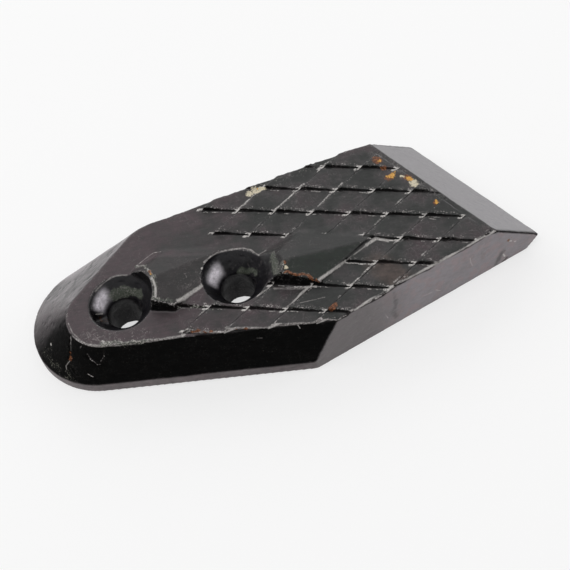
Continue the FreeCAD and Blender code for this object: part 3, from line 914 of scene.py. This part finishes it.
@dataclass(frozen=True)
class BlackPaint:
    """Thin black paint on forging scale, rubbed to steel on the edges, with painted shade, painted
    highlights and painted reflections.
    """

    face: Triple = (0.013, 0.0138, 0.013)
    face_mauve: Triple = (0.027, 0.0150, 0.0185)
    # Painted shade: near black for the walls that face the near side.
    near_wall: Triple = (0.0016, 0.0015, 0.0015)
    smudge: Triple = (0.085, 0.085, 0.070)
    # Walls; far_wall is a painted sheen on the walls that face the far side.
    wall: Triple = (0.040, 0.024, 0.029)
    far_wall: Triple = (0.130, 0.108, 0.118)
    # Painted reflection: the side face and bevel are black paint, coloured light grey for the bright
    # room they mirror; side_dark is painted shade at the side's tail end and the colour of the dark
    # smears.
    side: Triple = (0.228, 0.207, 0.222)
    side_mauve: Triple = (0.255, 0.205, 0.215)
    side_dark: Triple = (0.120, 0.106, 0.108)
    bevel: Triple = (0.250, 0.240, 0.250)
    rim: Triple = (0.106, 0.086, 0.089)
    # Painted shade: near black for the bowls; bore is the lighter side of the bores' painted light and
    # dark bands.
    bowl: Triple = (0.004, 0.0035, 0.005)
    # Painted highlight inside the bowls.
    seat_highlight: Triple = (0.820, 0.770, 0.830)
    bore: Triple = (0.034, 0.031, 0.033)
    grit: Triple = (0.040, 0.046, 0.036)
    # Grit in the bowls, painted lighter than grit elsewhere to make up for the bowls' shade: painted
    # light.
    bowl_grit_with_painted_light: Triple = (0.080, 0.092, 0.070)
    grain: Triple = (0.320, 0.308, 0.285)
    dust: Triple = (0.052, 0.038, 0.033)
    # Painted highlight for the highlight bands and the bands along the scale lines.
    bright: Triple = (0.560, 0.535, 0.515)
    # Painted shade for the ramp facets that lean towards the near side.
    facet: Triple = (0.005, 0.008, 0.0055)
    # Painted shade for the risers, the bars under them, the heel seams and the bevel and wall edges.
    riser: Triple = (0.003, 0.003, 0.003)
    worn: Triple = (0.090, 0.083, 0.081)
    steel: Triple = (0.38, 0.355, 0.345)
    rust: Triple = (0.075, 0.028, 0.014)
    rust_light: Triple = (0.29, 0.115, 0.050)
    ochre: Triple = (0.66, 0.36, 0.07)
    ochre_dark: Triple = (0.33, 0.13, 0.04)
    chalk: Triple = (0.62, 0.56, 0.42)
    # Painted shade for creases, and the colour of the dark smears.
    grime_and_crevice_shade: Triple = (0.008, 0.007, 0.006)
    lattice: ScaleLattice = ScaleLattice()

    def material(self) -> bpy.types.Material:
        """Build the paint.

        Returns:
            The material.
        """
        made = bpy.data.materials.new("worn_black_paint_and_painted_light")
        graph = Graph(made)
        place = graph.node("ShaderNodeTexCoord", output="Object")
        cloud = graph.noise(place, 14, 3, 0.6)
        patch = graph.noise(place, 3.2, 4, 0.65)
        fine = graph.noise(place, 0.55, 2, 0.6)
        streak = graph.noise(graph.stretched(place, (0.12, 1, 1), 14), 0.9, 3, 0.6)
        broken = graph.noise(place, 5.0, 2, 0.6)
        masks = {mask: graph.mask(mask) for mask in Mask}
        wrinkle = self._wrinkles(graph, place)
        tailward = graph.node("ShaderNodeSeparateXYZ", None, {0: place}).ramp(0.075, -0.01)
        mauve = (cloud + 0.35 * tailward).ramp(0.42, 0.78) * (1 - 0.7 * masks[Mask.LEAD])
        colour = graph.blend(mauve, self.face, self.face_mauve)
        # Painted sheen on walls facing the far side.
        wall = graph.blend(masks[Mask.FAR_WALL], self.wall, self.far_wall)
        upright = graph.noise(graph.stretched(place, (1, 1, 0.15), 0), 3.6, 3, 0.6)
        smudged = (fine + 0.10 * masks[Mask.SCUFF]).ramp(0.62, 0.72) * patch.ramp(0.44, 0.60)
        smudged = smudged * (0.20 + 0.80 * masks[Mask.SCUFF])
        # Painted shade on walls facing the near side, with real smudges.
        near_wall = graph.blend(smudged, self.near_wall, self.smudge)
        # Painted reflection on the side face with random blotches, and painted shade towards its tail
        # end.
        blotch = (cloud + 0.7 * (patch - 0.5)).ramp(0.48, 0.66) * 0.30
        tint = (broken - 0.3 * (patch - 0.5)).ramp(0.44, 0.60)
        side = graph.blend(tint, self.side, self.side_mauve)
        side = graph.blend(masks[Mask.SIDE_SHADE].either(blotch), side, self.side_dark)
        # Painted light and shade in the bores: upright light and dark bands stand in for facets.
        bore = graph.blend(upright.ramp(0.42, 0.58), self.bowl, self.bore)
        colour = graph.blend(masks[Mask.DUST] * (0.5 + patch), colour, self.dust)
        # Zone colours: painted shade on facets, walls, bowls and bores; painted sheen and reflection on
        # walls, side and bevel; painted highlight in the bowls.
        for mask, paint in ((Mask.FACET, self.facet), (Mask.WALL, wall),
                            (Mask.NEAR_WALL, near_wall), (Mask.SIDE, side),
                            (Mask.BEVEL, self.bevel), (Mask.RIM, self.rim), (Mask.BOWL, self.bowl),
                            (Mask.BORE, bore), (Mask.SEAT, self.seat_highlight)):
            colour = graph.blend(masks[mask], colour, paint)
        plain = masks[Mask.BEVEL].either(masks[Mask.SIDE])
        shade = 1 + (patch - 0.5) * (2.0 - 1.5 * plain) + (streak - 0.5) * (1.2 - 0.8 * plain)
        colour = graph.blend(1.0, colour, self._grey(graph, shade), "MULTIPLY")
        # Painted shade in creases and the dark smears, both from the hollow mask.
        colour = graph.blend(masks[Mask.HOLLOW] * 0.6, colour, self.grime_and_crevice_shade)
        grit = 0.6 * patch + 0.6 * fine
        bar, seam, light, stipple = self._lines(graph, place, masks, patch, broken)
        # Painted shade: dark lines at the bevel and wall edges, on and under the risers, and in the
        # heel seams.
        border = masks[Mask.BORDER]
        border = border.either(self._border(masks[Mask.WALL]) * (1 - masks[Mask.NEAR_WALL]))
        dark = border.either(masks[Mask.RISER]).either(bar).either(seam)
        colour = graph.blend(dark * 0.88, colour, self.riser)
        worn = masks[Mask.WORN] * masks[Mask.EDGE] * (grit + broken.ramp(0.30, 0.60) * 0.35)
        mottle = 2.4 * grit - 0.70
        light = (light * (1 - bar) * (1 - seam) * mottle).ramp(0.22, 0.95)
        worn = worn.ramp(0.30, 0.74)
        ragged = ((patch - 0.5) * 2.0 + (fine - 0.5) * 1.2) * MILLIMETRE
        worn = worn.either(self._strokes(graph, place, WORN_EDGES, ragged))
        bare = graph.blend(fine.ramp(0.32, 0.70), self.worn, self.steel)
        colour = graph.blend(worn, colour, bare)
        gritty = (masks[Mask.GRIT] * (0.2 + 0.9 * patch + 0.6 * fine)).ramp(0.30, 0.76)
        # Grit is painted lighter inside the bowls to make up for their shade.
        grit_paint = graph.blend(masks[Mask.BOWL], self.grit, self.bowl_grit_with_painted_light)
        colour = graph.blend(gritty * 0.75, colour, grit_paint)
        grains = (fine + 0.30 * patch).ramp(0.64, 0.77) * (1 - 0.75 * masks[Mask.BOWL])
        grains = grains * gritty * (0.45 + 0.9 * broken.ramp(0.38, 0.62))
        colour = graph.blend(grains, colour, self.grain)
        ragged = ((patch - 0.5) * 1.4 + (fine - 0.5) * 1.2) * MILLIMETRE
        # Painted highlights from the highlight bands and along the scale lines.
        bands = self._strokes(graph, place, HIGHLIGHT_BANDS, ragged)
        bands = bands * (0.55 + 0.45 * fine.ramp(0.36, 0.56))
        colour = graph.blend(bands.either(light * fine.ramp(0.28, 0.56)), colour, self.bright)
        flakes = graph.noise(place, 1.1, 1, 0.5)
        stipple = stipple.either(masks[Mask.BROW]).either(masks[Mask.SCUFF] * 0.6)
        specks = (fine + 0.12 * stipple).ramp(0.66, 0.74) * patch.ramp(0.40, 0.60)
        specks = specks.either((flakes + 0.04 * stipple).ramp(0.70, 0.76) * stipple)
        specks = specks * (1 - 0.7 * plain) * (1 - 0.85 * masks[Mask.NEAR_WALL])
        rubbed = (masks[Mask.EDGE] * grit).ramp(0.52, 0.90) * 0.20 * broken.ramp(0.42, 0.60)
        rubbed = rubbed.either(specks * (0.16 + 0.55 * stipple))
        wrinkled = wrinkle * (0.15 + 0.30 * masks[Mask.SCUFF]) * cloud.ramp(0.42, 0.62)
        rubbed = rubbed.either(wrinkled * (1 - 0.85 * masks[Mask.NEAR_WALL]))
        ragged = (patch - 0.5) * 1.2 * MILLIMETRE
        scratches = self._strokes(graph, place, SCRATCHES, ragged)
        rubbed = rubbed.either(scratches * fine.ramp(0.30, 0.60))
        colour = graph.blend(rubbed, colour, self.steel)
        freckled = 0.9 * patch + 0.6 * fine + 0.35 * flakes.ramp(0.34, 0.66)
        rusty = (masks[Mask.RUST] * freckled).ramp(0.28, 0.66)
        rust_paint = graph.blend(fine.ramp(0.4, 0.7), self.rust, self.rust_light)
        colour = graph.blend(rusty * 0.9, colour, rust_paint)
        chalky = (masks[Mask.CHALK] * freckled).ramp(0.26, 0.60)
        colour = graph.blend(chalky * (0.35 + 0.75 * fine.ramp(0.34, 0.50)), colour, self.chalk)
        ochre = (masks[Mask.OCHRE] * freckled).ramp(0.28, 0.56)
        ochre_paint = graph.blend(fine.ramp(0.36, 0.54), self.ochre_dark, self.ochre)
        colour = graph.blend(ochre, colour, ochre_paint)
        height = 0.5 * patch + 0.3 * fine + 0.3 * streak * (1 - 0.8 * masks[Mask.FAR_WALL])
        height = height + 0.15 * wrinkle
        bump = graph.node("ShaderNodeBump", None,
                          {"Strength": 0.6, "Distance": 0.18 * MILLIMETRE, "Height": height})
        rough = 0.34 + 0.30 * patch - 0.10 * masks[Mask.BOWL] + 0.2 * rusty + 0.2 * chalky
        dull_place = masks[Mask.NEAR_WALL].either(masks[Mask.RISER]).either(masks[Mask.BORE] * 0.8)
        dull_place = dull_place.either(masks[Mask.BOWL] * (1 - masks[Mask.SEAT]) * 0.55)
        dull_place = dull_place.either(masks[Mask.FACET] * 0.40).either(masks[Mask.LEAD] * 0.30)
        dull_place = dull_place.either(bar).either(seam * 0.8)
        cloudy = (0.12 + 0.22 * cloud.ramp(0.56, 0.40)) * (1 - tailward)
        dull_place = dull_place.either(cloudy * (1 - masks[Mask.WALL]) * (1 - plain))
        bowl = masks[Mask.BOWL] * (1 - masks[Mask.BORE])
        coat = (masks[Mask.WALL] * 0.6).either(bowl * 0.35)
        glossy = self._coat(graph, colour, rough, bump, rubbed, coat, level=0.5)
        dull = self._coat(graph, colour, rough, bump, rubbed, 0.0, level=0.018)
        skin = graph.node("ShaderNodeMixShader", None, {"Fac": dull_place, 1: glossy, 2: dull})
        graph.node("ShaderNodeOutputMaterial", None, {"Surface": skin})
        return made

    def _lines(self, graph: Graph, place: Value, masks: dict[Mask, Value], patch: Value,
               broken: Value) -> tuple[Value, Value, Value, Value]:
        """Painted shade and painted highlights along the lines between the scales.

        Args:
            graph: tree of the material.
            place: coordinates in metres.
            masks: the masks of the mesh.
            patch: noise that makes the lines waver.
            broken: noise that breaks the pale marks.

        Returns:
            Painted shade in bars under the risers and in seams at the heels, painted highlights in
            bands and at nodes, and the stippled strips above the risers.
        """
        waver = (patch - 0.5) * 0.7
        row, _ = self.lattice.gap(graph, place, self.lattice.across_rows)
        column, share = self.lattice.gap(graph, place, self.lattice.across_columns)
        row = row + waver
        column = column + waver * 0.6
        on_row = masks[Mask.ROW_LINE] * (1 - masks[Mask.LEAD])
        on_column = masks[Mask.COLUMN_LINE] * (1 - masks[Mask.LEAD])
        width = 0.58 - 0.30 * share
        # Painted shade: dark bars under the risers and seams at the heels.
        bar = (row.either(0 - row) - width).ramp(0.12, -0.12) * share.ramp(0.97, 0.90) * on_row
        seam = column.within(-0.14, 0.42, 0.14) * on_column * 0.92
        pale = masks[Mask.PALE]
        # Painted highlights: bands beside the heels and under the risers, stronger on the pale strokes,
        # and spots at the nodes.
        band = column.within(-1.35, -0.35, 0.35) * on_column
        band = band * (0.14 + 0.50 * broken.ramp(0.50, 0.64)).either(0.90 * pale)
        below = row.within(-1.0, -0.45, 0.25) * on_row
        below = below * (0.7 * broken.ramp(0.50, 0.62)).either(1.2 * pale)
        node = row.within(-1.1, 1.0, 0.4) * column.within(-1.9, 0.2, 0.4) * on_row.either(on_column)
        node = node * (0.90 + 0.6 * broken.ramp(0.40, 0.58))
        stipple = row.within(0.4, 1.9, 0.5) * on_row
        return bar, seam, band.either(below).either(node), stipple

    @staticmethod
    def _border(mask: Value) -> Value:
        """Thin line along the border of a mask."""
        return 4 * mask * (1 - mask)

    @staticmethod
    def _wrinkles(graph: Graph, place: Value) -> Value:
        """Thin winding lines, where two shades of noise meet."""
        ridge = graph.noise(place, 3.4, 3, 0.55, 0.9) - 0.5
        return ridge.ramp(-0.016, 0.0) * ridge.ramp(0.016, 0.0)

    @staticmethod
    def _strokes(graph: Graph, place: Value, strokes: tuple[Stroke, ...], ragged: Value) -> Value:
        """Thin lines: worn edges, scratches and painted highlights.

        Args:
            graph: tree of the material.
            place: coordinates in metres.
            strokes: the lines.
            ragged: noise in metres that frays their edges.

        Returns:
            0 to 1 over the surface.
        """
        total = None
        for stroke in strokes:
            ends = [Vector(point) * MILLIMETRE for point in stroke.points]
            gaps = [graph.segment(place, start, end) for start, end in itertools.pairwise(ends)]
            nearest = functools.reduce(Value.least, gaps)
            radius = stroke.radius * MILLIMETRE
            line = (nearest + ragged * min(stroke.radius, 1)).ramp(1.15 * radius, 0.35 * radius)
            line = line * stroke.strength
            total = line if total is None else total.either(line)
        return total

    @staticmethod
    def _grey(graph: Graph, value: Value) -> Value:
        """Grey colour of a value."""
        return graph.node("ShaderNodeCombineColor", None, {0: value, 1: value, 2: value})

    @staticmethod
    def _coat(graph: Graph, colour: Value, rough: Value, bump: Value, rubbed: Value,
              coat: Any, level: float) -> Value:
        """One layer of the paint.

        Args:
            graph: tree of the material.
            colour: colour over the surface.
            rough: roughness over the surface.
            bump: fine relief.
            rubbed: where bare steel shows.
            coat: weight of the clear coat.
            level: specular level of the layer.

        Returns:
            The shader.
        """
        sockets = {"Base Color": colour, "Roughness": rough, "Normal": bump,
                   "Metallic": rubbed * 0.7, "Specular IOR Level": level,
                   "Coat Weight": coat, "Coat Roughness": 0.22}
        return graph.node("ShaderNodeBsdfPrincipled", None, sockets)


@dataclass(frozen=True)
class Lamp:
    """A soft panel lamp; places are in metres."""

    name: str
    place: Triple
    width: float
    height: float
    watts: float

    def build(self, aim: Vector) -> None:
        """Hang the lamp so that it faces a point."""
        data = bpy.data.lights.new(self.name, "AREA")
        data.shape = "RECTANGLE"
        data.size = self.width
        data.size_y = self.height
        data.energy = self.watts
        lamp = bpy.data.objects.new(self.name, data)
        lamp.location = self.place
        lamp.rotation_mode = "QUATERNION"
        lamp.rotation_quaternion = (aim - Vector(self.place)).to_track_quat("-Z", "Y")
        lamp.visible_camera = False
        bpy.context.scene.collection.objects.link(lamp)


@dataclass
class Studio:
    """Pale floor, soft lamps and the camera."""

    floor_side: float = 12.0
    floor_drop: float = 0.00005
    floor_colour: Triple = (0.95, 0.95, 0.95)
    white: float = 1.0
    ambient: float = 0.42
    camera_place: Triple = (0.05571, -0.27934, 0.43985)
    camera_aim: Triple = (0.06307, -0.0052, 0.020)
    camera_roll: float = 11.39
    camera_lens: float = 82.1
    lamps: tuple[Lamp, ...] = (
        Lamp("back_panel", (0.15, 1.15, 0.75), 1.8, 0.9, 5.0),
        Lamp("top_panel", (-0.25, -0.20, 1.40), 0.9, 0.9, 5.0),
        Lamp("left_panel", (-1.05, 0.45, 0.70), 0.9, 0.9, 4.0),
        Lamp("right_panel", (1.10, 0.10, 0.55), 0.5, 0.7, 2.5),
    )

    def build(self) -> None:
        """Set up everything round the forging."""
        self._floor()
        self._world()
        aim = Vector(self.camera_aim)
        for lamp in self.lamps:
            lamp.build(aim)
        self._camera(aim)
        bpy.context.scene.view_settings.view_transform = "Standard"

    @staticmethod
    def _seen(graph: Graph) -> Value:
        """1 for rays that show the background: camera, glossy and transmission rays."""
        names = ("Is Camera Ray", "Is Glossy Ray", "Is Transmission Ray")
        camera, glossy, through = (graph.node("ShaderNodeLightPath", output=name) for name in names)
        return camera.either(glossy).either(through)

    def _floor(self) -> None:
        """Pale floor that keeps the forging's shadow."""
        half = self.floor_side / 2
        mesh = bpy.data.meshes.new("floor")
        square = ((-half, -half), (half, -half), (half, half), (-half, half))
        mesh.from_pydata([(x, y, -self.floor_drop) for x, y in square], [], [(0, 1, 2, 3)])
        floor = bpy.data.objects.new("floor", mesh)
        bpy.context.scene.collection.objects.link(floor)
        made = bpy.data.materials.new("pale_floor")
        graph = Graph(made)
        matt = graph.node("ShaderNodeBsdfDiffuse", None, {"Color": (*self.floor_colour, 1)})
        glow = graph.node("ShaderNodeEmission", None, {"Color": (1, 1, 1, 1), "Strength": self.white})
        mixed = graph.node("ShaderNodeMixShader", None,
                           {"Fac": self._seen(graph) * 0.6, 1: matt, 2: glow})
        graph.node("ShaderNodeOutputMaterial", None, {"Surface": mixed})
        mesh.materials.append(made)

    def _world(self) -> None:
        """Soft light from all round, white where it is seen."""
        world = bpy.data.worlds.new("soft_room")
        bpy.context.scene.world = world
        graph = Graph(world)
        seen = self._seen(graph)
        strength = self.ambient + seen * (self.white - self.ambient)
        light = graph.node("ShaderNodeBackground", None, {"Color": (1, 1, 1, 1), "Strength": strength})
        graph.node("ShaderNodeOutputWorld", None, {"Surface": light})

    def _camera(self, aim: Vector) -> None:
        """Camera at the photograph's viewing angle."""
        data = bpy.data.cameras.new("camera")
        data.lens = self.camera_lens
        data.clip_start = 0.01
        camera = bpy.data.objects.new("camera", data)
        place = Vector(self.camera_place)
        level = (aim - place).to_track_quat("-Z", "Y")
        camera.location = place
        camera.rotation_mode = "QUATERNION"
        camera.rotation_quaternion = level @ Quaternion((0, 0, 1), -math.radians(self.camera_roll))
        bpy.context.scene.collection.objects.link(camera)
        bpy.context.scene.camera = camera


def main() -> None:
    """Build the studio and the forging."""
    logging.basicConfig(level=logging.INFO, format="%(name)s: %(message)s")
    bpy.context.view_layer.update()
    Studio().build()
    mounts = {mount["name"]: mount for mount in frame["record"]["mounts"]}
    holes = [np.array(mounts[name]["pos_m"]) / MILLIMETRE
             for name in ("rear_bolt_hole", "front_bolt_hole")]
    forging = Forging(frame["nodes"]["plough_point"], holes=holes).build()
    forging.data.materials.clear()
    forging.data.materials.append(BlackPaint().material())
    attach(forging, "root")
    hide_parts("plough_point")


if __name__ == "__main__":
    main()
